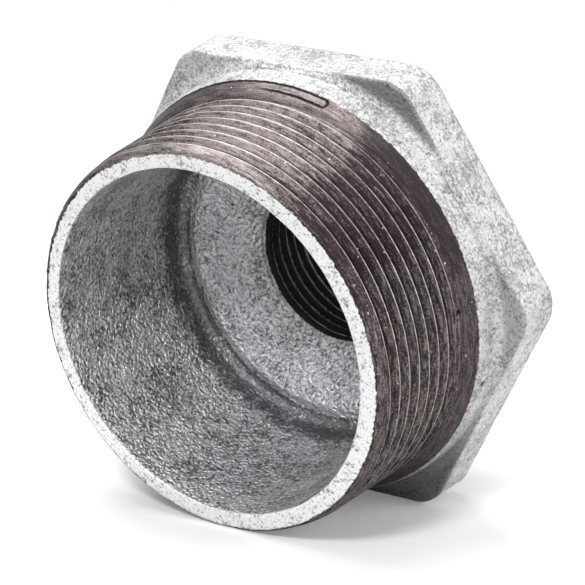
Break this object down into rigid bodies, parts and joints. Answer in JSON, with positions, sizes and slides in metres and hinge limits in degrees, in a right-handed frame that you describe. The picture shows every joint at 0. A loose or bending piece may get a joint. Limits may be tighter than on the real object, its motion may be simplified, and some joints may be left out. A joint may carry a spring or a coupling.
{
  "type": "hex reducing bushing",
  "caption": "Galvanised malleable iron pipe bushing with a hexagon, a large male taper thread on a hollow mouth and a smaller female thread behind it.",
  "frame": {"origin": "centre of the female end face, on the pipe axis", "axes": "+Y along the pipe axis, out of the female thread; the male mouth faces -Y; +Z is the outward side of one flat of the hexagon, so the part lies on the opposite flat; X runs through two corners of the hexagon"},
  "size_m": [0.0744, 0.048, 0.0658],
  "materials": {
    "galvanised_casting": "hot-dip galvanised cast skin, with the threads cut bare through it and left dark"
  },
  "bodies": {
    "root": {"hex_bushing": "galvanised_casting"}
  },
  "joints": []
}
